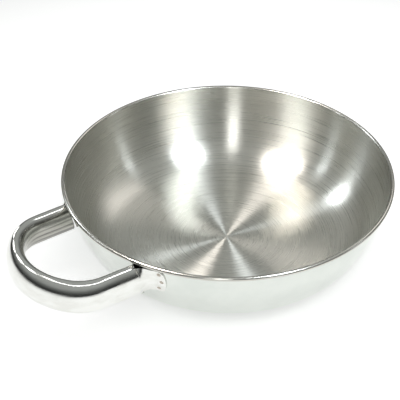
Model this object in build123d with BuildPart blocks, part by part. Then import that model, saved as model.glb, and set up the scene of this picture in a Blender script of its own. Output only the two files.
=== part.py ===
from build123d import *
import os
from math import acos, asin, atan2, cos, degrees, radians, sin, sqrt

# A round stainless steel pan: a pressed bowl with a rolled rim, and a loop handle of oval tube
# whose two slit ends lie on the wall as tongues and are spot-welded to it.
# Millimetres, +Z up. The origin is the centre of the flat base, and the handle points along -X.

os.makedirs("parts", exist_ok=True)

# Bowl
rim_radius = 125.0          # outside of the rolled rim
pan_height = 62.0           # base to the top of the rolled rim
sheet = 0.8                 # sheet thickness
curl_radius = 1.6           # outside of the rolled edge
curl_turn = 285.0           # how far the edge rolls over
crown_radius = 158.0        # shallow rise round the flat base
crown_angle = 9.5
knuckle_radius = 34.5       # the round corner between base and side
knuckle_angle = 60.8
wall_angle = 84.4           # slope of the side where it meets the rim

# Handle tube
tube_half_width = 6.7
tube_half_height = 12.5
tube_wall = 1.0
tube_lean = 5.8             # the top of the section leans towards the inside of the loop
handle_rise = 2.9           # the loop rises outward from the bowl
handle_drop = 16.3          # rim top down to the tube's centre, where the legs start
leg_offset = 44.6           # a leg's centre to the plane of symmetry
leg_start = 119.2           # where the whole tube starts, from the bowl's axis
leg_length = 23.0           # straight part of a leg
leg_converge = 1.2          # the legs close in slightly outward
corner_radius = 31.3
end_radius = 51.3

# Slit end of a leg, and the tongue on the wall
stub_gap = 1.4              # clearance between the cut end's inner corner and the wall
slit_angle = 66.0           # half of the part of the section that becomes the tongue
slit_width = 1.2            # saw cut between the tongue and the rest of the tube
bend_radius = 11.0          # bend between the tube's side and the wall
flat_by = 0.75              # the share of the bend by which the tongue is flat
tongue_gap = 0.05           # air between the tongue and the wall, which the welds bridge
bend_sections = (0.2, 0.45, 0.7, 0.85, 1)     # shares of the bend where its section is drawn
tongue_top = 3.9            # rim top down to the tongue's edges
tongue_bottom = 25.1
tongue_reach = 6.9          # from the end of the bend to the tip
tongue_spare = 2.0          # extra strip, trimmed off when the tip is cut to its outline
tongue_tip_radius = 22.0
tongue_corner = 4.5

# Spot welds
nugget_radius = 1.6
nugget_depth = 0.45         # into the bowl's wall
nugget_dimple = 0.15        # below the tongue's face
nugget_spots = ((2.2, 7.6), (3.6, 0.2), (0.7, -7.4))     # past the bend, and up from mid-height

# Radii that close the bowl's outline at the rim
a1, a2, a3 = radians(crown_angle), radians(knuckle_angle), radians(wall_angle)
inner_curl = curl_radius - sheet
wall_top_z = pan_height - curl_radius + inner_curl * cos(a3)
wall_top_r = rim_radius - curl_radius - inner_curl * sin(a3)
low_rise = crown_radius * (1 - cos(a1)) + knuckle_radius * (cos(a1) - cos(a2))
wall_curve = (wall_top_z - low_rise) / (cos(a2) - cos(a3))
low_run = crown_radius * sin(a1) + knuckle_radius * (sin(a2) - sin(a1))
base_radius = wall_top_r - low_run - wall_curve * (sin(a3) - sin(a2))
wall_centre_r = wall_top_r - wall_curve * sin(a3)
wall_centre_z = wall_top_z + wall_curve * cos(a3)


def wall_r(z):
    """Outside radius of the bowl's side at height z."""
    return wall_centre_r + sqrt(wall_curve**2 - (wall_centre_z - z) ** 2)


# Bowl: the outside and inside lines of the sheet run through the same arcs, and are turned about Z
bowl_arcs = (
    (crown_radius, crown_angle),
    (knuckle_radius, knuckle_angle - crown_angle),
    (wall_curve, wall_angle - knuckle_angle),
    (-inner_curl, curl_turn),
)


def sheet_line(height, inset):
    """The base line and the arcs of one face of the sheet; a negative radius curls outward."""
    line = Line((0, height), (base_radius, height))
    for radius, turn in bowl_arcs:
        line = JernArc(line @ 1, line % 1, abs(radius - inset), turn if radius > 0 else -turn)
    return line @ 1


# Handle tube: along one leg, round the loop and back, in a plane that rises outward.
# On that plane +x points outward and +y to the object's -Y side, where the first leg stands.
rise, converge = radians(handle_rise), radians(leg_converge)
loop_plane = Plane(
    origin=(-leg_start, 0, pan_height - handle_drop),
    x_dir=(-cos(rise), 0, sin(rise)),
    z_dir=(sin(rise), 0, cos(rise)),
)
corner_run = leg_offset - leg_length * sin(converge) - corner_radius * cos(converge)
corner_heading = degrees(acos(corner_run / (end_radius - corner_radius)))

with BuildLine(loop_plane) as loop:
    leg = PolarLine((0, leg_offset), leg_length, -leg_converge)
    corner = JernArc(leg @ 1, leg % 1, corner_radius, leg_converge - corner_heading)
    far_end = JernArc(corner @ 1, corner % 1, end_radius, 2 * corner_heading - 180)
    corner = JernArc(far_end @ 1, far_end % 1, corner_radius, leg_converge - corner_heading)
    PolarLine(corner @ 1, leg_length, 180 + leg_converge)

# Section where the first leg starts: x points away from the inside of the loop, y up
leg_out = Vector(-cos(rise) * sin(converge), -cos(converge), sin(rise) * sin(converge))
section_plane = Plane(origin=loop.line @ 0, x_dir=leg_out, z_dir=loop.line % 0)


def tube_section():
    """The oval wall of the tube, leaning into the loop."""
    Ellipse(tube_half_width, tube_half_height, rotation=tube_lean)
    Ellipse(tube_half_width - tube_wall, tube_half_height - tube_wall, rotation=tube_lean,
            mode=Mode.SUBTRACT)


# Slit end of a leg: the inner side of the tube is cut square in plan and slanted like the wall
stub_high = pan_height - handle_drop + tube_half_height
stub_low = pan_height - handle_drop - tube_half_height
stub_v = leg_offset - tube_half_width
cut_high = sqrt(wall_r(stub_high) ** 2 - stub_v**2) + stub_gap
cut_low = sqrt(wall_r(stub_low) ** 2 - stub_v**2) + stub_gap
cut_plane = Plane(
    origin=(-cut_high, 0, stub_high),
    x_dir=(0, 1, 0),
    z_dir=(stub_low - stub_high, 0, cut_low - cut_high),
)

with BuildPart() as stub:
    with BuildSketch(section_plane):
        tube_section()
        slit_x = tube_half_width * cos(radians(slit_angle)) - slit_width
        with Locations(Rot(0, 0, tube_lean) * Pos(slit_x, 0)):
            Rectangle(2 * tube_half_width, 2 * tube_half_height, align=(Align.MIN, Align.CENTER),
                      mode=Mode.SUBTRACT)
    extrude(amount=-(leg_start - cut_low + tube_half_width))
    split(bisect_by=cut_plane, keep=Keep.TOP)

# Tongue: the outer side of the tube bends away from the loop until it lies on the wall.
# Its line in plan is a straight leg, an arc, then a circle about the bowl's axis.
lie_z = pan_height - (tongue_top + tongue_bottom) / 2
lie_half = (tongue_bottom - tongue_top) / 2
lie_radius = wall_curve + tongue_gap + tube_wall
lie_slope = asin((wall_centre_z - lie_z) / lie_radius)
lie_r = wall_centre_r + lie_radius * cos(lie_slope)

# The bend's centre in plan: (side_u, side_v) is where it would be, outward and sideways, if the
# bend began at the leg's start, and run_in slides it along the leg until the bend ends on the wall
side_v = leg_offset + tube_half_width + bend_radius * cos(converge)
side_u = leg_start + bend_radius * sin(converge)
along = side_v * sin(converge) - side_u * cos(converge)
run_in = -along - sqrt(along**2 - side_u**2 - side_v**2 + (lie_r + bend_radius) ** 2)
bend_u = side_u - run_in * cos(converge)
bend_v = side_v + run_in * sin(converge)
lie_azimuth = degrees(atan2(bend_v, bend_u))     # from the handle's axis to the end of the bend
bend_turn = 90 - leg_converge - lie_azimuth


def flattened(share):
    """How far the section has changed from oval to flat after this share of the bend."""
    return sin(radians(90 * min(1, share / flat_by)))


def tongue_plane(share):
    """The section of the tongue after this share of the bend: x away from the sheet, y up."""
    azimuth = radians(90 - leg_converge - share * bend_turn)
    out = Vector(-cos(azimuth), -sin(azimuth))
    flat = flattened(share)
    height = (1 - flat) * (pan_height - handle_drop) + flat * lie_z
    centre = Vector(-bend_u, -bend_v, height)
    lean = (1 - flat) * tube_lean - flat * degrees(lie_slope)
    upright = Plane(origin=centre - out * bend_radius, x_dir=out, z_dir=out.cross(Vector(0, 0, 1)))
    return Plane(upright.location * Rot(0, 0, lean))


def tongue_section(half_x, half_y, angle, edge_angle):
    """A strip between two ellipses; its edges meet the outer one at angle, the inner at edge_angle."""
    with BuildLine() as outline:
        centre = (-half_x, 0)
        outer = EllipticalCenterArc(centre, half_x, half_y, -angle, arc_size=2 * angle)
        half_x, half_y = half_x - tube_wall, half_y - tube_wall
        inner = EllipticalCenterArc(centre, half_x, half_y, -edge_angle, arc_size=2 * edge_angle)
        Line(outer @ 0, inner @ 0)
        Line(outer @ 1, inner @ 1)
    make_face(outline.edges())


lie_angle = degrees(asin(lie_half / lie_radius))
lie_edge_angle = degrees(asin(lie_half / (lie_radius - tube_wall)))
lie_bulge = lie_radius * (1 - cos(radians(lie_angle)))
slit_half = tube_half_height * sin(radians(slit_angle))
slit_bulge = tube_half_width * (1 - cos(radians(slit_angle)))

with BuildPart() as tongue:
    start = Plane(section_plane.location * Rot(0, 0, tube_lean) * Pos(tube_half_width, 0, 0))
    with BuildSketch(start):
        tongue_section(tube_half_width, tube_half_height, slit_angle, slit_angle)
    for share in bend_sections:
        flat = flattened(share)
        angle = (1 - flat) * slit_angle + flat * lie_angle
        edge_angle = (1 - flat) * slit_angle + flat * lie_edge_angle
        half = (1 - flat) * slit_half + flat * lie_half
        bulge = (1 - flat) * slit_bulge + flat * lie_bulge
        half_x = bulge / (1 - cos(radians(angle)))
        half_y = half / sin(radians(angle))
        with BuildSketch(tongue_plane(share)):
            tongue_section(half_x, half_y, angle, edge_angle)
    loft()

# The end of the tongue lies on the wall: a wider strip turned about the bowl's axis, cut to shape
with BuildPart() as tip:
    spare_angle = degrees(asin((lie_half + tongue_spare) / lie_radius))
    with BuildSketch(tongue_plane(1)):
        tongue_section(lie_radius, lie_radius, spare_angle, spare_angle)
    revolve(axis=Axis.Z, revolution_arc=degrees((tongue_reach + tongue_spare) / lie_r))
    tip_azimuth = radians(lie_azimuth)
    tip_plane = Plane(
        origin=tongue_plane(1).origin,
        x_dir=(sin(tip_azimuth), -cos(tip_azimuth), 0),
        z_dir=tongue_plane(1).x_dir,
    )
    with BuildSketch(tip_plane) as tip_shape:
        Rectangle(2 * tongue_reach, 2 * lie_half)
        with Locations((tongue_reach - tongue_tip_radius, 0)):
            Circle(tongue_tip_radius, mode=Mode.INTERSECT)
        fillet(tip_shape.vertices().group_by(Axis.X)[-1], tongue_corner)
    extrude(amount=2 * tube_wall + sheet, both=True, mode=Mode.INTERSECT)

nugget_length = nugget_depth + tongue_gap + tube_wall - nugget_dimple


def nugget_planes(side):
    """Where one leg's weld nuggets start inside the wall; side is 1 at -Y and -1 at +Y."""
    planes = []
    for past_bend, up in nugget_spots:
        azimuth = radians(lie_azimuth + degrees(past_bend / lie_r))
        out = Vector(-cos(azimuth), -side * sin(azimuth))
        slope = lie_slope - up / lie_radius
        normal = out * cos(slope) - Vector(0, 0, sin(slope))
        centre = out * wall_centre_r + Vector(0, 0, wall_centre_z)
        planes.append(Plane(origin=centre + normal * (wall_curve - nugget_depth), z_dir=normal))
    return planes


with BuildPart() as bowl:
    with BuildSketch(Plane.XZ):
        with BuildLine():
            Line((0, 0), (0, sheet))
            outside_end = sheet_line(0, 0)
            inside_end = sheet_line(sheet, sheet)
            Line(outside_end, inside_end)
        make_face()
    revolve(axis=Axis.Z)
    with BuildSketch(*nugget_planes(1), *nugget_planes(-1)):
        Circle(nugget_radius)
    extrude(amount=nugget_length, mode=Mode.SUBTRACT)

bowl.part.label = "bowl"
export_step(bowl.part, "parts/bowl.step")

with BuildPart() as handle:
    with BuildSketch(section_plane):
        tube_section()
    sweep(path=loop.line)
    for end in (stub, tongue, tip):
        add(end.part)
        mirror(end.part, about=Plane.XZ)
    with BuildSketch(*nugget_planes(1), *nugget_planes(-1)):
        Circle(nugget_radius)
    extrude(amount=nugget_length + tube_wall, mode=Mode.SUBTRACT)

handle.part.label = "handle"
export_step(handle.part, "parts/handle.step")

# The three nuggets of each leg; the right leg stands at -Y
for side, name in ((1, "right_leg_welds"), (-1, "left_leg_welds")):
    with BuildPart() as welds:
        with BuildSketch(*nugget_planes(side)):
            Circle(nugget_radius)
        extrude(amount=nugget_length)
    welds.part.label = name
    export_step(welds.part, f"parts/{name}.step")
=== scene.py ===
"""A round stainless steel pan on a pale floor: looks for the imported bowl, loop handle and spot welds.

Metres, in the part's own frame: +Z up, the base's centre at the origin, the handle along -X.
"""

from math import acos, asin, atan2, cos, pi, radians, sin, sqrt

import bmesh
import bpy
from mathutils import Matrix, Vector


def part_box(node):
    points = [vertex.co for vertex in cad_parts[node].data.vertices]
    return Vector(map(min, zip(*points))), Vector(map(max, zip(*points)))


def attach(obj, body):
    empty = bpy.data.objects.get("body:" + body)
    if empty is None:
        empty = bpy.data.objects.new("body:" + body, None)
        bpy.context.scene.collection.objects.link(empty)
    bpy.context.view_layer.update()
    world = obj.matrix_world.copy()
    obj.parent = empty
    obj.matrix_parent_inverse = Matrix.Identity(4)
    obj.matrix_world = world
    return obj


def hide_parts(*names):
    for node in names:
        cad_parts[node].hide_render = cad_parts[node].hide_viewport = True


MM = 0.001

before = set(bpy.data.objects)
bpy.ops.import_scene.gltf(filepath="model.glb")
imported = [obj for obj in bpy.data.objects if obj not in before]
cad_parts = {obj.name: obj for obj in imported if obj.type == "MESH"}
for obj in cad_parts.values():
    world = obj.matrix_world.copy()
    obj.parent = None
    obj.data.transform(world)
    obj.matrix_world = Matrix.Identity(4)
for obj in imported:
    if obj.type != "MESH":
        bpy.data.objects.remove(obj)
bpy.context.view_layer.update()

_, bowl_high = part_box("bowl")

# Bowl: pressed from one sheet, with its edge rolled outward. Each angle is the sheet's slope, in degrees,
# where that arc ends.
RIM_RADIUS = bowl_high.x
PAN_HEIGHT = bowl_high.z
SHEET = 0.8 * MM
CURL_RADIUS = 1.6 * MM
CURL_TURN = 285.0            # how far the edge is rolled, in degrees
CROWN_RADIUS, CROWN_ANGLE = 158.0 * MM, 9.5
KNUCKLE_RADIUS, KNUCKLE_ANGLE = 34.5 * MM, 60.8
WALL_ANGLE = 84.4

# Handle: an oval tube in a loop that rises outward. Angles are in degrees.
TUBE_HALF_WIDTH, TUBE_HALF_HEIGHT = 6.7 * MM, 12.5 * MM
TUBE_WALL = 1.0 * MM
TUBE_LEAN = 5.8
HANDLE_RISE = 2.9
HANDLE_DROP = 16.3 * MM
LEG_OFFSET, LEG_START, LEG_LENGTH = 44.6 * MM, 119.2 * MM, 23.0 * MM
LEG_CONVERGE = 1.2
CORNER_RADIUS, END_RADIUS = 31.3 * MM, 51.3 * MM
EDGE_RADIUS = 0.12 * MM      # on the cut edges of its sheet

# The slit ends of the tube and the tongues that lie on the wall
STUB_GAP = 1.4 * MM
SLIT_ANGLE = 66.0
SLIT_WIDTH = 1.2 * MM
BEND_RADIUS = 11.0 * MM
FLAT_BY = 0.75               # share of the bend by which the tongue lies flat
TONGUE_GAP = 0.05 * MM
TONGUE_TOP, TONGUE_BOTTOM = 3.9 * MM, 25.1 * MM
TONGUE_REACH = 6.9 * MM
TIP_RADIUS, TIP_CORNER = 22.0 * MM, 4.5 * MM

# Spot welds: past the end of the bend, and up from the tongue's mid-height
NUGGET_RADIUS = 1.6 * MM
NUGGET_SPOTS = ((2.2 * MM, 7.6 * MM), (3.6 * MM, 0.2 * MM), (0.7 * MM, -7.4 * MM))
DIMPLE_DEPTH = 0.15 * MM
DIMPLE_SPREAD = 1.25         # the dimple's radius, in nugget radii
DIMPLE_SLOPE = 0.35          # the share of that radius over which it slopes
DIMPLE_SINK = 1.6            # how far the tongue sinks in it, in dimple depths
FACE_SINK = 1.2              # how far the weld's face lies in it, in dimple depths
FACE_PROFILE = (             # the dished face: share of the nugget's radius, and height
    (0.0, -0.04 * MM),
    (0.35, -0.035 * MM),
    (0.62, -0.02 * MM),
    (0.80, 0.02 * MM),
    (0.92, 0.02 * MM),
    (1.0, -0.04 * MM),
)

# How finely the surfaces are divided, and what their edges do
BOWL_TURN_STEPS = 384
BASE_STEPS, CROWN_STEPS, KNUCKLE_STEPS, WALL_STEPS, CURL_STEPS = 8, 10, 30, 30, 36
SATIN_CURL_STEPS = CURL_STEPS // 12      # the satin inside ends this far into the rolled edge
LEG_STEPS, CORNER_STEPS, END_STEPS = 12, 40, 56
TONGUE_ROWS, SLIT_ROWS, STUB_ROWS = 56, 4, 64
TONGUE_CROWDING = 1.35                   # draws the tongue's rows to its edges; near 0 they are even
RUN_IN_STEPS, BEND_STEPS, TIP_STEPS, CUT_STEPS = 4, 34, 24, 6
NUGGET_STEPS = 32
SHARP_ANGLE, WELD_SHARP_ANGLE = radians(50), radians(60)
MERGE_DISTANCE = 0.02 * MM               # points closer than this after the edges are rounded are one
ON_AXIS = 1e-7                           # a profile point nearer the axis than this is on it


# ---------------------------------------------------------------- shapes worked out from those sizes

INNER_CURL = CURL_RADIUS - SHEET
CROWN_END, KNUCKLE_END, WALL_END = radians(CROWN_ANGLE), radians(KNUCKLE_ANGLE), radians(WALL_ANGLE)
WALL_TOP_Z = PAN_HEIGHT - CURL_RADIUS + INNER_CURL * cos(WALL_END)
WALL_TOP_R = RIM_RADIUS - CURL_RADIUS - INNER_CURL * sin(WALL_END)
LOW_RISE = CROWN_RADIUS * (1 - cos(CROWN_END)) + KNUCKLE_RADIUS * (cos(CROWN_END) - cos(KNUCKLE_END))
WALL_CURVE = (WALL_TOP_Z - LOW_RISE) / (cos(KNUCKLE_END) - cos(WALL_END))
LOW_RUN = CROWN_RADIUS * sin(CROWN_END) + KNUCKLE_RADIUS * (sin(KNUCKLE_END) - sin(CROWN_END))
BASE_RADIUS = WALL_TOP_R - LOW_RUN - WALL_CURVE * (sin(WALL_END) - sin(KNUCKLE_END))
WALL_CENTRE_R = WALL_TOP_R - WALL_CURVE * sin(WALL_END)
WALL_CENTRE_Z = WALL_TOP_Z + WALL_CURVE * cos(WALL_END)


def wall_r(z):
    """Outside radius of the bowl's side at height z."""
    return WALL_CENTRE_R + sqrt(WALL_CURVE**2 - (WALL_CENTRE_Z - z) ** 2)


def steps(count):
    """Shares from 0 to 1 in count equal steps."""
    return [i / count for i in range(count + 1)]


def sheet_line(inset):
    """(radius, height) points of one face of the bowl's sheet, from the axis to the rolled edge."""
    points = [(BASE_RADIUS * share, inset) for share in steps(BASE_STEPS)]
    r, z, heading = BASE_RADIUS, inset, 0.0
    arcs = (
        (CROWN_RADIUS - inset, radians(CROWN_ANGLE), CROWN_STEPS),
        (KNUCKLE_RADIUS - inset, radians(KNUCKLE_ANGLE - CROWN_ANGLE), KNUCKLE_STEPS),
        (WALL_CURVE - inset, radians(WALL_ANGLE - KNUCKLE_ANGLE), WALL_STEPS),
        (-INNER_CURL - inset, -radians(CURL_TURN), CURL_STEPS),
    )
    for radius, turn, count in arcs:
        centre_r, centre_z = r - radius * sin(heading), z + radius * cos(heading)
        for share in steps(count)[1:]:
            angle = heading + turn * share
            points.append((centre_r + radius * sin(angle), centre_z - radius * cos(angle)))
        heading += turn
        r, z = points[-1]
    return points


# ---------------------------------------------------------------- mesh helpers


def finish_mesh(mesh, name, materials, sharp_angle=None):
    """Puts a bmesh into a new smooth-shaded object with these materials."""
    data = bpy.data.meshes.new(name)
    bmesh.ops.recalc_face_normals(mesh, faces=mesh.faces)
    for face in mesh.faces:
        face.smooth = True
    if sharp_angle is not None:
        for edge in mesh.edges:
            if len(edge.link_faces) == 2 and edge.calc_face_angle() > sharp_angle:
                edge.smooth = False
    mesh.to_mesh(data)
    mesh.free()
    for material in materials:
        data.materials.append(material)
    piece = bpy.data.objects.new(name, data)
    bpy.context.scene.collection.objects.link(piece)
    return piece


def revolve(line, segments, zone_of):
    """A closed profile turned about Z. UV u runs along the profile in metres, v round the axis in turns.

    line is a list of (r, z); its first and last points lie on the axis. zone_of(i) is the material
    index of the band between points i and i + 1.
    """
    mesh = bmesh.new()
    uv = mesh.loops.layers.uv.new("along_round")
    run = [0.0]
    for (r0, z0), (r1, z1) in zip(line, line[1:]):
        run.append(run[-1] + sqrt((r1 - r0) ** 2 + (z1 - z0) ** 2))
    rings = []
    for r, z in line:
        if r < ON_AXIS:
            rings.append([mesh.verts.new((0, 0, z))])
            continue
        angles = [2 * pi * k / segments for k in range(segments)]
        rings.append([mesh.verts.new((r * cos(a), r * sin(a), z)) for a in angles])
    for i, (low, high) in enumerate(zip(rings, rings[1:])):
        for k in range(segments):
            after = (k + 1) % segments
            if len(low) == 1:
                corners = ((low[0], i, k + 0.5), (high[k], i + 1, k), (high[after], i + 1, k + 1))
            elif len(high) == 1:
                corners = ((low[k], i, k), (high[0], i + 1, k + 0.5), (low[after], i, k + 1))
            else:
                corners = (
                    (low[k], i, k),
                    (high[k], i + 1, k),
                    (high[after], i + 1, k + 1),
                    (low[after], i, k + 1),
                )
            face = mesh.faces.new([vert for vert, _, _ in corners])
            face.material_index = zone_of(i)
            for loop, (_, ring, place) in zip(face.loops, corners):
                loop[uv].uv = (run[ring], place / segments)
    return mesh


# ---------------------------------------------------------------- materials


class Nodes:
    """Short names for building a material's node tree."""

    def __init__(self, name):
        self.material = bpy.data.materials.new(name)
        self.material.use_nodes = True
        self.tree = self.material.node_tree
        self.shader = self.tree.nodes["Principled BSDF"]

    def add(self, kind, **settings):
        """A new node with these settings."""
        node = self.tree.nodes.new("ShaderNode" + kind)
        for key, value in settings.items():
            setattr(node, key, value)
        return node

    def link(self, source, target):
        """Joins an output socket to an input socket."""
        self.tree.links.new(source, target)

    def value(self, socket, amount):
        """Sets a socket to a number, or links it to another socket."""
        if isinstance(amount, bpy.types.NodeSocket):
            self.link(amount, socket)
        else:
            socket.default_value = amount

    def maths(self, operation, first, second=0.0):
        """The result of an operation on one or two sockets or numbers."""
        node = self.add("Math", operation=operation)
        self.value(node.inputs[0], first)
        self.value(node.inputs[1], second)
        return node.outputs[0]

    def spread(self, source, low, high, to_low=0.0, to_high=1.0):
        """Maps source from low..high to to_low..to_high, clamped."""
        node = self.add("MapRange")
        self.value(node.inputs["Value"], source)
        for key, amount in zip(("From Min", "From Max", "To Min", "To Max"), (low, high, to_low, to_high)):
            node.inputs[key].default_value = amount
        return node.outputs["Result"]

    def noise(self, vector, scale, detail=2.0, roughness=0.5):
        """Fractal noise; scale is about how many features there are to each unit of the vector."""
        node = self.add("TexNoise")
        self.link(vector, node.inputs["Vector"])
        node.inputs["Scale"].default_value = scale
        node.inputs["Detail"].default_value = detail
        node.inputs["Roughness"].default_value = roughness
        return node.outputs["Fac"]

    def vector(self, x, y, z):
        """Three numbers or sockets as one vector."""
        node = self.add("CombineXYZ")
        for socket, amount in zip(node.inputs, (x, y, z)):
            self.value(socket, amount)
        return node.outputs[0]

    def mix_colour(self, share, first, second):
        """first where share is 0, second where it is 1."""
        node = self.add("Mix", data_type="RGBA")
        self.value(node.inputs["Factor"], share)
        self.value(node.inputs["A"], first)
        self.value(node.inputs["B"], second)
        return node.outputs["Result"]

    def bump(self, height, distance, strength):
        """A normal for this relief; distance is in metres."""
        node = self.add("Bump")
        node.inputs["Strength"].default_value = strength
        node.inputs["Distance"].default_value = distance
        self.link(height, node.inputs["Height"])
        return node.outputs["Normal"]

    def metal(self, colour, roughness, normal):
        """The material, as bare metal with this colour, roughness and relief."""
        self.link(colour, self.shader.inputs["Base Color"])
        self.shader.inputs["Metallic"].default_value = 1.0
        self.link(roughness, self.shader.inputs["Roughness"])
        self.link(normal, self.shader.inputs["Normal"])
        return self.material


# Steel colours: what each surface varies between
SATIN_STEEL = (0.595, 0.59, 0.545, 1), (0.675, 0.67, 0.62, 1)
OUTSIDE_STEEL = (0.665, 0.69, 0.655, 1), (0.61, 0.64, 0.605, 1)
EDGE_STEEL = (0.56, 0.55, 0.51, 1), (0.50, 0.49, 0.45, 1)
BRIGHT_TUBE = (0.78, 0.785, 0.76, 1), (0.72, 0.72, 0.69, 1)
# the tube's inner face: two colours darkened as painted shade, with its own streaks between them
SHADED_INNER_TUBE = (0.22, 0.215, 0.20, 1), (0.52, 0.51, 0.47, 1)
WELD_STEEL = (0.32, 0.28, 0.24, 1), (0.58, 0.53, 0.46, 1)

# Roughness, from the smoothest to the dullest
SATIN_ROUGHNESS = 0.26, 0.32
OUTSIDE_ROUGHNESS = 0.07, 0.14
EDGE_ROUGHNESS = 0.18, 0.26
TUBE_ROUGHNESS = 0.06, 0.15
LINE_ROUGHNESS = 0.08        # more on the tube's polishing lines
INNER_ROUGHNESS = 0.08       # and more on its inner face
WELD_ROUGHNESS = 0.32, 0.5

# Where the tube's dull inner face, darkened with painted shade, is full, and where it ends: outward on its
# section drawn as a circle
SHADED_INNER_FACE = -8.5 * MM, -3.0 * MM


def ring_coordinates(nodes):
    """Coordinates in rings about Z: metres along the profile, and a place on a unit circle round the axis."""
    uv = nodes.add("UVMap", uv_map="along_round").outputs[0]
    split = nodes.add("SeparateXYZ")
    nodes.link(uv, split.inputs[0])
    angle = nodes.maths("MULTIPLY", split.outputs["Y"], 2 * pi)
    return split.outputs["X"], nodes.maths("COSINE", angle), nodes.maths("SINE", angle)


def ring_noise(nodes, coordinates, squeeze, scale, detail):
    """Noise drawn out into rings: squeeze times finer along the profile than round the axis."""
    along, across, deep = coordinates
    place = nodes.vector(nodes.maths("MULTIPLY", along, squeeze), across, deep)
    return nodes.noise(place, scale=scale, detail=detail)


def satin_inside():
    """Brushed in rings: highlights stretch up the wall and cross the base as rays."""
    nodes = Nodes("satin_inside")
    coordinates = ring_coordinates(nodes)
    fine = ring_noise(nodes, coordinates, squeeze=2600.0, scale=2.6, detail=4.0)
    broad = ring_noise(nodes, coordinates, squeeze=700.0, scale=1.7, detail=2.0)
    streaks = nodes.maths("ADD", nodes.maths("MULTIPLY", fine, 0.6), nodes.maths("MULTIPLY", broad, 0.4))
    nodes.shader.inputs["Anisotropic"].default_value = 1.0
    tangent = nodes.add("Tangent", direction_type="UV_MAP", uv_map="along_round")
    nodes.link(tangent.outputs[0], nodes.shader.inputs["Tangent"])
    return nodes.metal(
        colour=nodes.mix_colour(nodes.spread(streaks, 0.35, 0.65), *SATIN_STEEL),
        roughness=nodes.spread(streaks, 0.36, 0.64, *SATIN_ROUGHNESS),
        normal=nodes.bump(streaks, distance=0.03 * MM, strength=0.35),
    )


def polished_bowl(name, steel, roughness):
    """Polish with faint rings and with wipe marks, which take it from clean and smooth to dull."""
    nodes = Nodes(name)
    rings = ring_noise(nodes, ring_coordinates(nodes), squeeze=900.0, scale=1.5, detail=2.0)
    place = nodes.add("TexCoord").outputs["Object"]
    wipes = nodes.noise(place, scale=28.0, detail=4.0, roughness=0.6)
    return nodes.metal(
        colour=nodes.mix_colour(nodes.spread(wipes, 0.4, 0.7), *steel),
        roughness=nodes.spread(wipes, 0.35, 0.7, *roughness),
        normal=nodes.bump(rings, distance=0.01 * MM, strength=0.4),
    )


def polished_tube():
    """Mirror polish with lines along the tube, wipe marks and small dents; dull and streaked inside, with
    painted shade.
    """
    nodes = Nodes("polished_tube")
    polish = nodes.add("Attribute", attribute_name="polish").outputs["Vector"]
    split = nodes.add("SeparateXYZ")
    nodes.link(polish, split.inputs[0])
    along, outward, high = split.outputs

    def stretched(by, scale, detail=2.0):
        """Noise that is finer round the tube than along it, where by is less than 1."""
        place = nodes.vector(nodes.maths("MULTIPLY", along, by), outward, high)
        return nodes.noise(place, scale=scale, detail=detail)

    lines = stretched(0.03, scale=900.0)
    waves = stretched(0.12, scale=260.0)
    clouds = stretched(0.5, scale=150.0, detail=4.0)
    streaks = stretched(0.03, scale=420.0, detail=3.0)
    specks = nodes.noise(polish, scale=520.0, detail=3.0, roughness=0.6)
    # inner is 1 on the tube's inner face, which gets more roughness and a colour darkened as painted shade
    inner = nodes.spread(outward, *SHADED_INNER_FACE, 1.0, 0.0)
    bright = nodes.mix_colour(nodes.spread(clouds, 0.40, 0.62), *BRIGHT_TUBE)
    # painted shade: the inner face's dark colour, streaked as the tube really is
    dull = nodes.mix_colour(nodes.spread(streaks, 0.38, 0.62), *SHADED_INNER_TUBE)
    wiped = nodes.spread(clouds, 0.42, 0.62, *TUBE_ROUGHNESS)
    rough = nodes.maths("ADD", wiped, nodes.spread(lines, 0.45, 0.65, 0.0, LINE_ROUGHNESS))
    rough = nodes.maths("ADD", rough, nodes.maths("MULTIPLY", inner, INNER_ROUGHNESS))
    relief = nodes.maths("ADD", waves, nodes.maths("MULTIPLY", specks, 0.35))
    relief = nodes.maths("ADD", relief, nodes.maths("MULTIPLY", lines, 0.22))
    return nodes.metal(
        colour=nodes.mix_colour(inner, bright, dull),
        roughness=rough,
        normal=nodes.bump(relief, distance=0.12 * MM, strength=0.5),
    )


def weld_metal():
    """A spot weld's face: dull, browned by heat."""
    nodes = Nodes("weld_metal")
    place = nodes.add("TexCoord").outputs["Object"]
    grain = nodes.noise(place, scale=1500.0, detail=3.0)
    return nodes.metal(
        colour=nodes.mix_colour(nodes.spread(grain, 0.35, 0.65), *WELD_STEEL),
        roughness=nodes.spread(grain, 0.3, 0.7, *WELD_ROUGHNESS),
        normal=nodes.bump(grain, distance=0.03 * MM, strength=0.5),
    )


# ---------------------------------------------------------------- bowl


SATIN, POLISHED, ROLLED = 0, 1, 2        # places in the bowl's list of materials


def make_bowl():
    """The sheet turned about Z: satin inside, polished outside, and duller on the rolled edge."""
    outside, inside = sheet_line(0.0), sheet_line(SHEET)
    line = outside + inside[::-1]
    satin_bands = len(inside) - 1 - CURL_STEPS + SATIN_CURL_STEPS

    def zone_of(i):
        """The material of the band between profile points i and i + 1."""
        if i < len(outside):
            return POLISHED
        bands_from_axis = len(line) - 1 - i
        return SATIN if bands_from_axis <= satin_bands else ROLLED

    looks = (
        satin_inside(),
        polished_bowl("polished_outside", OUTSIDE_STEEL, OUTSIDE_ROUGHNESS),
        polished_bowl("rolled_edge", EDGE_STEEL, EDGE_ROUGHNESS),
    )
    shell = revolve(line, BOWL_TURN_STEPS, zone_of)
    bowl = finish_mesh(shell, "bowl_shell", looks, sharp_angle=SHARP_ANGLE)
    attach(bowl, "root")
    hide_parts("bowl")
    return bowl


# ---------------------------------------------------------------- handle

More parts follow.
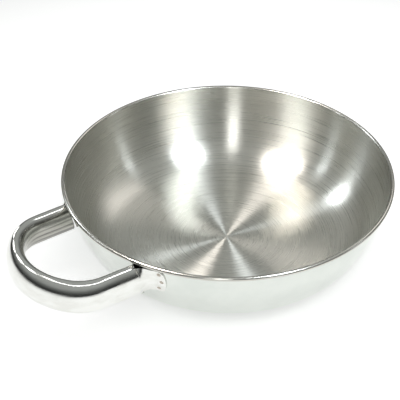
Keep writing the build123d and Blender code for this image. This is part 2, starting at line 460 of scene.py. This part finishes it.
RISE, CONVERGE, LEAN = radians(HANDLE_RISE), radians(LEG_CONVERGE), radians(TUBE_LEAN)
LOOP_ORIGIN = Vector((-LEG_START, 0, PAN_HEIGHT - HANDLE_DROP))
LOOP_OUT = Vector((-cos(RISE), 0, sin(RISE)))
LOOP_SIDE = Vector((0, -1, 0))
LOOP_UP = Vector((sin(RISE), 0, cos(RISE)))
LEG_ALONG = (LOOP_OUT * cos(CONVERGE) - LOOP_SIDE * sin(CONVERGE)).normalized()


def straight_leg(x, y, heading):
    """(x, y, heading) along a straight leg that starts here."""
    return [
        (x + LEG_LENGTH * cos(heading) * share, y + LEG_LENGTH * sin(heading) * share, heading)
        for share in steps(LEG_STEPS)
    ]


def loop_stations():
    """(centre, outward direction) along the tube's centreline, from the -Y leg round to the +Y leg."""
    corner_run = LEG_OFFSET - LEG_LENGTH * sin(CONVERGE) - CORNER_RADIUS * cos(CONVERGE)
    turn = acos(corner_run / (END_RADIUS - CORNER_RADIUS))
    places = straight_leg(0.0, LEG_OFFSET, -CONVERGE)
    for radius, angle, count in (
        (CORNER_RADIUS, turn - CONVERGE, CORNER_STEPS),
        (END_RADIUS, pi - 2 * turn, END_STEPS),
        (CORNER_RADIUS, turn - CONVERGE, CORNER_STEPS),
    ):
        x, y, start = places[-1]
        centre_x, centre_y = x + radius * sin(start), y - radius * cos(start)
        for share in steps(count)[1:]:
            heading = start - angle * share
            places.append((centre_x - radius * sin(heading), centre_y + radius * cos(heading), heading))
    places += straight_leg(*places[-1])[1:]
    stations = []
    for x, y, heading in places:
        centre = LOOP_ORIGIN + LOOP_OUT * x + LOOP_SIDE * y
        stations.append((centre, LOOP_SIDE * cos(heading) - LOOP_OUT * sin(heading)))
    return stations


def leaning(x, y, lean):
    """(x, y) turned by this angle."""
    return x * cos(lean) - y * sin(lean), x * sin(lean) + y * cos(lean)


def oval_point(angle, inset):
    """A point of the tube's section, leaning into the loop: (outward, up)."""
    x = (TUBE_HALF_WIDTH - inset) * cos(angle)
    y = (TUBE_HALF_HEIGHT - inset) * sin(angle)
    return leaning(x, y, LEAN)


# A slit runs between these angles on the section, from the tongue's edge to the stub's
SLIT_AT = radians(SLIT_ANGLE)
STUB_AT = acos((TUBE_HALF_WIDTH * cos(SLIT_AT) - SLIT_WIDTH) / TUBE_HALF_WIDTH)

# Places in a ring of points round the section, which holds the tongue's, a slit's, the stub's and the
# other slit's
TONGUE_END = TONGUE_ROWS + 1
STUB_START = TONGUE_ROWS + SLIT_ROWS
STUB_END = STUB_START + STUB_ROWS + 1


def ring_angles():
    """Angles round the tube's section: the tongue's rows, a slit, the stub's rows and a slit."""
    crowding = TONGUE_CROWDING
    tongue = [SLIT_AT * sin(crowding * (2 * share - 1)) / sin(crowding) for share in steps(TONGUE_ROWS)]
    slit = [SLIT_AT + (STUB_AT - SLIT_AT) * share for share in steps(SLIT_ROWS)[1:]]
    stub = [STUB_AT + (2 * pi - 2 * STUB_AT) * share for share in steps(STUB_ROWS)[1:]]
    other = [2 * pi - STUB_AT + (STUB_AT - SLIT_AT) * share for share in steps(SLIT_ROWS)[1:-1]]
    return tongue + slit + stub + other


# The tongue flat on the wall: the height, slope and distance from the axis of its middle, and the half
# height, radius and half angle of its curve
LIE_Z = PAN_HEIGHT - (TONGUE_TOP + TONGUE_BOTTOM) / 2
LIE_HALF = (TONGUE_BOTTOM - TONGUE_TOP) / 2
LIE_RADIUS = WALL_CURVE + TONGUE_GAP + TUBE_WALL
LIE_SLOPE = asin((WALL_CENTRE_Z - LIE_Z) / LIE_RADIUS)
LIE_R = WALL_CENTRE_R + LIE_RADIUS * cos(LIE_SLOPE)
LIE_ANGLE = asin(LIE_HALF / LIE_RADIUS)

# The tongue's bend in plan, u along -X and v along -Y: it runs straight on from the tube's outer side
# until a bend of this radius, centred on BEND_U and BEND_V, ends flat on the wall
SIDE_U = LEG_START + BEND_RADIUS * sin(CONVERGE)
SIDE_V = LEG_OFFSET + TUBE_HALF_WIDTH + BEND_RADIUS * cos(CONVERGE)
SLANT = SIDE_V * sin(CONVERGE) - SIDE_U * cos(CONVERGE)
RUN_IN = -SLANT - sqrt(SLANT**2 - SIDE_U**2 - SIDE_V**2 + (LIE_R + BEND_RADIUS) ** 2)
BEND_U = SIDE_U - RUN_IN * cos(CONVERGE)
BEND_V = SIDE_V + RUN_IN * sin(CONVERGE)
LIE_AZIMUTH = atan2(BEND_V, BEND_U)
BEND_TURN = pi / 2 - CONVERGE - LIE_AZIMUTH
BEND_LENGTH = BEND_TURN * BEND_RADIUS


def mixed(first, second, share):
    """first where share is 0, second where it is 1."""
    return first + (second - first) * share


def bend_point(share, row, inset):
    """A point of the tongue, share of the way round its bend. row is from -1 to 1 up the section."""
    flat = sin(pi / 2 * min(1.0, share / FLAT_BY))
    azimuth = pi / 2 - CONVERGE - share * BEND_TURN
    out = Vector((-cos(azimuth), -sin(azimuth), 0))
    centre = Vector((-BEND_U, -BEND_V, mixed(PAN_HEIGHT - HANDLE_DROP, LIE_Z, flat))) - out * BEND_RADIUS
    angle = mixed(SLIT_AT, LIE_ANGLE, flat)
    half = mixed(TUBE_HALF_HEIGHT * sin(SLIT_AT), LIE_HALF, flat)
    bulge = mixed(TUBE_HALF_WIDTH * (1 - cos(SLIT_AT)), LIE_RADIUS * (1 - cos(LIE_ANGLE)), flat)
    half_x, half_y = bulge / (1 - cos(angle)), half / sin(angle)
    x = (half_x - inset) * cos(angle * row) - half_x
    y = (half_y - inset) * sin(angle * row)
    x, y = leaning(x, y, mixed(LEAN, -LIE_SLOPE, flat))
    return centre + out * x + Vector((0, 0, y))


def tip_reach(up):
    """How far the tongue goes past the bend at this height on it: a D with rounded corners."""
    up = abs(up)
    centre = TONGUE_REACH - TIP_RADIUS
    corner_up = LIE_HALF - TIP_CORNER
    corner = centre + sqrt((TIP_RADIUS - TIP_CORNER) ** 2 - corner_up**2)
    if up < TIP_RADIUS * corner_up / (TIP_RADIUS - TIP_CORNER):
        return centre + sqrt(TIP_RADIUS**2 - up**2)
    return corner + sqrt(max(0.0, TIP_CORNER**2 - (up - corner_up) ** 2))


def wall_point(past_bend, up, height):
    """A point over the wall on the -Y side, by distance past the bend, up the tongue and off the wall."""
    azimuth = LIE_AZIMUTH + past_bend / LIE_R
    out = Vector((-cos(azimuth), -sin(azimuth), 0))
    slope = LIE_SLOPE - up / LIE_RADIUS
    centre = out * WALL_CENTRE_R + Vector((0, 0, WALL_CENTRE_Z))
    return centre + (out * cos(slope) - Vector((0, 0, sin(slope)))) * (WALL_CURVE + height)


def dimple(past_bend, up):
    """Depth of the electrodes' marks at a place on the tongue."""
    deepest = 0.0
    for spot_past, spot_up in NUGGET_SPOTS:
        distance = sqrt((past_bend - spot_past) ** 2 + (up - spot_up) ** 2) / (DIMPLE_SPREAD * NUGGET_RADIUS)
        if distance < 1:
            share = min(1.0, (1 - distance) / DIMPLE_SLOPE)
            deepest = max(deepest, DIMPLE_DEPTH * DIMPLE_SINK * share * share * (3 - 2 * share))
    return deepest


def mirrored(point):
    """The same point at the other leg."""
    return Vector((point.x, -point.y, point.z))


def cut_distance(start, leg):
    """From a point of the tube's end along the leg to the stub's slanted cut near the wall."""
    high = PAN_HEIGHT - HANDLE_DROP + TUBE_HALF_HEIGHT
    low = PAN_HEIGHT - HANDLE_DROP - TUBE_HALF_HEIGHT
    inner_side = LEG_OFFSET - TUBE_HALF_WIDTH
    cut_high = sqrt(wall_r(high) ** 2 - inner_side**2) + STUB_GAP
    cut_low = sqrt(wall_r(low) ** 2 - inner_side**2) + STUB_GAP
    normal = Vector((low - high, 0, cut_low - cut_high))
    origin = Vector((-cut_high, 0, high))
    return (start - origin).dot(normal) / leg.dot(normal)


def make_handle():
    """The tube with its slit ends: an outer and an inner face, joined along their free edges."""
    angles = ring_angles()
    fractions = [angle / SLIT_AT for angle in angles[:TONGUE_END]]
    stations = loop_stations()
    runs = [0.0]
    for (near, _), (far, _) in zip(stations, stations[1:]):
        runs.append(runs[-1] + (far - near).length)
    mesh = bmesh.new()
    polish = mesh.verts.layers.float_vector.new("polish")

    def point(place, along, angle):
        """A vertex that knows how far along the tube it is, and where on its section drawn as a circle."""
        vert = mesh.verts.new(place)
        vert[polish] = (along, TUBE_HALF_HEIGHT * cos(angle), TUBE_HALF_HEIGHT * sin(angle))
        return vert

    def tube_ring(centre, out, inset, along):
        """The vertices round the tube at one station."""
        ring = []
        for angle in angles:
            x, y = oval_point(angle, inset)
            ring.append(point(centre + out * x + LOOP_UP * y, along, angle))
        return ring

    def tongue_columns(inset, flip):
        """The tongue's columns of vertices after the tube's end: run in, bend, tip."""
        place = mirrored if flip else Vector
        start, onward = (runs[-1], 1) if flip else (0.0, -1)
        columns = []
        centre, out = stations[0]
        for share in steps(RUN_IN_STEPS)[1:]:
            column = []
            along = start + onward * RUN_IN * share
            for row, angle in zip(fractions, angles):
                x, y = oval_point(angle, inset)
                slid = centre + out * x + LOOP_UP * y - LEG_ALONG * RUN_IN * share
                bend_start = bend_point(0.0, row, inset)
                column.append(point(place(slid.lerp(bend_start, share)), along, angle))
            columns.append(column)
        for share in steps(BEND_STEPS)[1:]:
            column = []
            along = start + onward * (RUN_IN + BEND_LENGTH * share)
            for row, angle in zip(fractions, angles):
                sunk = 0.0 if inset else dimple((share - 1) * BEND_LENGTH, row * LIE_HALF)
                column.append(point(place(bend_point(share, row, inset + sunk)), along, angle))
            columns.append(column)
        for share in steps(TIP_STEPS)[1:]:
            column = []
            for row, angle in zip(fractions, angles):
                up = row * LIE_HALF
                past = tip_reach(up) * share
                along = start + onward * (RUN_IN + BEND_LENGTH + past)
                sunk = 0.0 if inset else dimple(past, up)
                off_wall = TONGUE_GAP + TUBE_WALL - inset - sunk
                column.append(point(place(wall_point(past, up, off_wall)), along, angle))
            columns.append(column)
        return columns

    def stub_columns(ring, flip):
        """The stub's columns of vertices: straight on from the tube's end to the slanted cut."""
        leg = mirrored(LEG_ALONG) if flip else LEG_ALONG
        start, onward = (runs[-1], 1) if flip else (0.0, -1)
        columns = []
        for share in steps(CUT_STEPS)[1:]:
            column = []
            for vert, angle in zip(ring[STUB_START:STUB_END], angles[STUB_START:STUB_END]):
                past = cut_distance(vert.co, leg) * share
                column.append(point(vert.co - leg * past, start + onward * past, angle))
            columns.append(column)
        return columns

    def skin(columns, closed):
        """Faces between neighbouring columns of vertices."""
        count = len(columns[0])
        for near, far in zip(columns, columns[1:]):
            for k in range(count if closed else count - 1):
                after = (k + 1) % count
                mesh.faces.new((near[k], near[after], far[after], far[k]))

    layers = []
    for inset in (0.0, TUBE_WALL):
        tube = [tube_ring(centre, out, inset, run) for (centre, out), run in zip(stations, runs)]
        skin(tube, closed=True)
        outline = []
        for ring, flip in ((tube[0], False), (tube[-1], True)):
            tongue = [ring[:TONGUE_END]] + tongue_columns(inset, flip)
            stub = [ring[STUB_START:STUB_END]] + stub_columns(ring, flip)
            skin(tongue, closed=False)
            skin(stub, closed=False)
            outline.append(edge_loop(ring, tongue, stub))
        layers.append(outline)
    for outer, inner in zip(*layers):
        for k, vert in enumerate(outer):
            after = (k + 1) % len(outer)
            mesh.faces.new((vert, outer[after], inner[after], inner[k]))
    round_edges(mesh)
    handle = finish_mesh(mesh, "loop_handle", (polished_tube(),))
    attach(handle, "root")
    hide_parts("handle")
    return handle


def border(columns):
    """Out along the first row, over the last column and back along the last row."""
    return [column[0] for column in columns] + columns[-1][1:] + [column[-1] for column in columns[-2::-1]]


def edge_loop(ring, tongue, stub):
    """The free edge of one end, in order: round the tongue, a slit, round the stub, a slit."""
    return border(tongue) + ring[TONGUE_END:STUB_START] + border(stub) + ring[STUB_END:]


def round_edges(mesh):
    """Rounds the cut edges of the sheet, and joins the points that this brings together."""
    mesh.normal_update()
    sharp = [e for e in mesh.edges if len(e.link_faces) == 2 and e.calc_face_angle() > SHARP_ANGLE]
    bmesh.ops.bevel(mesh, geom=sharp, offset=EDGE_RADIUS, segments=2, profile=0.5, affect="EDGES",
                    clamp_overlap=True)
    bmesh.ops.remove_doubles(mesh, verts=mesh.verts, dist=MERGE_DISTANCE)


# ---------------------------------------------------------------- spot welds


def make_welds(side, node):
    """Three dished discs that fill the dimples; side is 1 at -Y and -1 at +Y."""
    mesh = bmesh.new()
    face_height = TONGUE_GAP + TUBE_WALL - DIMPLE_DEPTH * FACE_SINK

    def ring_at(past, up, share, height):
        """A ring at this share of a spot's radius and height off the wall, or a point at its centre."""
        ring = []
        for k in range(NUGGET_STEPS if share else 1):
            angle = 2 * pi * k / NUGGET_STEPS
            spot = wall_point(past + NUGGET_RADIUS * share * cos(angle),
                              up + NUGGET_RADIUS * share * sin(angle), height)
            ring.append(mesh.verts.new(Vector((spot.x, spot.y * side, spot.z))))
        return ring

    for past, up in NUGGET_SPOTS:
        rings = [ring_at(past, up, share, face_height + lift) for share, lift in FACE_PROFILE]
        foot = ring_at(past, up, 1.0, 0.0)
        rings.append(foot)
        for near, far in zip(rings, rings[1:]):
            for k in range(NUGGET_STEPS):
                after = (k + 1) % NUGGET_STEPS
                if len(near) == 1:
                    mesh.faces.new((near[0], far[k], far[after]))
                else:
                    mesh.faces.new((near[k], far[k], far[after], near[after]))
        mesh.faces.new(foot[::-1])
    welds = finish_mesh(mesh, f"{node}_faces", (weld_metal(),), sharp_angle=WELD_SHARP_ANGLE)
    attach(welds, "root")
    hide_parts(node)
    return welds


# ---------------------------------------------------------------- stage, light and camera

VIEW_TURN = -37.3                         # the camera's azimuth round the pan; 0 looks along +Y

# The floor: a painted pool of light, white and glowing round the pan and falling away further out, with
# painted shadow under the pan. Distances are from the pan's centre.
FLOOR_NEAR, FLOOR_FAR = 0.86, 0.12        # how white it is
FLOOR_FADE = 0.34, 1.0                    # where it falls away
FLOOR_GLOW = 0.54                         # light of its own, so that it stays white under soft light
# painted shadow: the floor has no glow under the pan
UNDER_PAN = 0.05, 0.10                    # the glow comes up over this distance
FLOOR_HALF_SIZE = 3.0
FLOOR_DROP = 0.3 * MM                     # keeps it clear of the base

# The room: dark walls that turn into a pale ceiling between these elevations, in degrees
SKY_FROM, SKY_TO = 0.0, 40.0
SKY_DARK, SKY_PALE = 0.04, 0.40
SKY_TINT = (0.97, 1.0, 0.97, 1)

# Lights are given as azimuth and elevation in degrees, (width, height) and watts. Azimuth is from the
# camera's right, through away from it.
LIGHT_DISTANCE = 1.4
COOL, NEUTRAL, WARM = (0.89, 0.945, 1.0), (1.0, 1.0, 1.0), (1.0, 0.94, 0.91)
BOWL_LIGHTS = (
    ("right_top", 320, 63, (0.33, 0.40), 12.0, COOL),
    ("right_low", 298, 12, (0.22, 0.30), 0.3, COOL),
    ("left_top", 186, 65, (0.32, 0.44), 13.0, WARM),
    ("left_low", 224, 12, (0.22, 0.30), 0.3, WARM),
    ("far_left_high", 136, 42, (0.16, 0.20), 1.3, COOL),
    ("far_left", 145, 36, (0.16, 0.20), 1.3, COOL),
    ("far_left_low", 153, 27, (0.14, 0.25), 0.7, COOL),
    ("far_left_thin", 182, 28, (0.12, 0.35), 0.8, COOL),
    ("far_right", 50, 44, (0.60, 0.55), 1.4, WARM),
    ("far_right_thin", 357, 24, (0.12, 0.30), 0.5, COOL),
    ("front", 264.5, 20, (0.19, 0.45), 1.4, NEUTRAL),
    ("front_high", 264.5, 48, (0.16, 0.25), 0.8, NEUTRAL),
    ("back", 75, 6, (0.36, 0.36), 1.2, NEUTRAL),
)
# The handle has a half ring of strips, and a slanting row that carries the highlight along its ridge
STRIP_AZIMUTHS, STRIP_ELEVATION = range(170, 371, 25), 62
STRIP_SIZE, STRIP_POWER = (0.27, 0.12), 0.45
RIDGE_PLACES = (168, 47), (153, 36), (139, 24), (126, 12)
RIDGE_SIZE, RIDGE_POWER = (0.30, 0.24), 0.9
OVERHEAD = 300, 72, (1.2, 1.2), 10.0      # for the floor and the welds


def grey(level):
    """A colour of this brightness."""
    return (level, level, level, 1)


def floor_material():
    """A painted pool of light: white and glowing round the pan, falling away into the dark of the room, with
    no glow under the pan as painted shadow.
    """
    nodes = Nodes("pale_floor")
    place = nodes.add("TexCoord").outputs["Object"]
    distance = nodes.add("VectorMath", operation="LENGTH")
    nodes.link(place, distance.inputs[0])
    near = nodes.spread(distance.outputs["Value"], *FLOOR_FADE, 1.0, 0.0)
    clear = nodes.spread(distance.outputs["Value"], *UNDER_PAN, 0.0, FLOOR_GLOW)
    colour = nodes.mix_colour(near, grey(FLOOR_FAR), grey(FLOOR_NEAR))
    nodes.link(colour, nodes.shader.inputs["Base Color"])
    # painted light: the floor's glow, a pool round the pan with painted shadow under it
    nodes.link(nodes.maths("MULTIPLY", near, clear), nodes.shader.inputs["Emission Strength"])
    nodes.shader.inputs["Emission Color"].default_value = grey(1)
    nodes.shader.inputs["Roughness"].default_value = 0.9
    nodes.shader.inputs["Specular IOR Level"].default_value = 0.0
    return nodes.material


def make_floor():
    """The sheet that the pan stands on."""
    mesh = bmesh.new()
    bmesh.ops.create_grid(mesh, x_segments=1, y_segments=1, size=FLOOR_HALF_SIZE)
    floor = finish_mesh(mesh, "floor", (floor_material(),))
    floor.location.z = -FLOOR_DROP
    return floor


def around(azimuth, elevation, distance):
    """A place round the pan: azimuth from the camera's right, through away from it."""
    turn = radians(azimuth + VIEW_TURN)
    level = radians(elevation)
    return Vector((cos(turn) * cos(level), sin(turn) * cos(level), sin(level))) * distance


def softbox(name, azimuth, elevation, size, power, colour, reach):
    """A rectangular light that faces the pan and lights only the pieces in the collection reach."""
    light = bpy.data.lights.new(name, "AREA")
    light.shape = "RECTANGLE"
    light.size, light.size_y = size
    light.energy = power
    light.color = colour
    lamp = bpy.data.objects.new(name, light)
    bpy.context.scene.collection.objects.link(lamp)
    lamp.location = around(azimuth, elevation, LIGHT_DISTANCE)
    aim = Vector((0, 0, PAN_HEIGHT / 2)) - lamp.location
    lamp.rotation_euler = aim.to_track_quat("-Z", "Y").to_euler()
    lamp.light_linking.receiver_collection = reach


def make_lights(bowl, handle, floor, welds):
    """Each set of lights reaches its own pieces, as flags and small snoots would arrange it."""
    make_sky()
    reach = {}
    for name, pieces in (("bowl", [bowl]), ("handle", [handle]), ("floor", [floor] + welds)):
        reach[name] = bpy.data.collections.new(f"lights_for_{name}")
        for piece in pieces:
            reach[name].objects.link(piece)
    for light in BOWL_LIGHTS:
        softbox(*light, reach["bowl"])
    for azimuth in STRIP_AZIMUTHS:
        name = f"strip_{azimuth}"
        softbox(name, azimuth, STRIP_ELEVATION, STRIP_SIZE, STRIP_POWER, NEUTRAL, reach["handle"])
    for azimuth, elevation in RIDGE_PLACES:
        name = f"ridge_{azimuth}"
        softbox(name, azimuth, elevation, RIDGE_SIZE, RIDGE_POWER, NEUTRAL, reach["handle"])
    softbox("overhead", *OVERHEAD, NEUTRAL, reach["floor"])


def make_sky():
    """A dim room with a pale ceiling."""
    world = bpy.data.worlds.new("studio")
    world.use_nodes = True
    tree = world.node_tree
    direction = tree.nodes.new("ShaderNodeTexCoord").outputs["Generated"]
    split = tree.nodes.new("ShaderNodeSeparateXYZ")
    tree.links.new(direction, split.inputs[0])
    rise = tree.nodes.new("ShaderNodeMapRange")
    rise.interpolation_type = "SMOOTHSTEP"
    tree.links.new(split.outputs["Z"], rise.inputs["Value"])
    low, high = sin(radians(SKY_FROM)), sin(radians(SKY_TO))
    for key, amount in zip(("From Min", "From Max", "To Min", "To Max"), (low, high, SKY_DARK, SKY_PALE)):
        rise.inputs[key].default_value = amount
    background = tree.nodes["Background"]
    background.inputs["Color"].default_value = SKY_TINT
    tree.links.new(rise.outputs["Result"], background.inputs["Strength"])
    bpy.context.scene.world = world


CAMERA_TILT = 36.483                      # degrees below the horizon
CAMERA_DISTANCE = 1.0                     # from the rim's centre, along the view
CAMERA_LENS, SENSOR_WIDTH = 119.78, 36.0  # mm
RIM_RIGHT, RIM_UP = 0.02074, 0.02096      # the rim's centre, right of and above the middle of the view


def make_camera():
    """The camera, looking down at the pan from between its handle and -Y."""
    turn, tilt = radians(VIEW_TURN), radians(CAMERA_TILT)
    right = Vector((cos(turn), sin(turn), 0))
    forward = Vector((-sin(turn) * cos(tilt), cos(turn) * cos(tilt), -sin(tilt)))
    up = right.cross(forward)
    data = bpy.data.cameras.new("camera")
    data.sensor_width = SENSOR_WIDTH
    data.lens = CAMERA_LENS
    camera = bpy.data.objects.new("camera", data)
    bpy.context.scene.collection.objects.link(camera)
    target = Vector((0, 0, PAN_HEIGHT))
    camera.location = target - right * RIM_RIGHT - up * RIM_UP - forward * CAMERA_DISTANCE
    camera.rotation_euler = Matrix((right, up, -forward)).transposed().to_euler()
    bpy.context.scene.camera = camera


make_camera()
bowl_piece = make_bowl()
handle_piece = make_handle()
weld_pieces = [make_welds(1, "right_leg_welds"), make_welds(-1, "left_leg_welds")]
make_lights(bowl_piece, handle_piece, make_floor(), weld_pieces)
bpy.context.scene.view_settings.view_transform = "Standard"
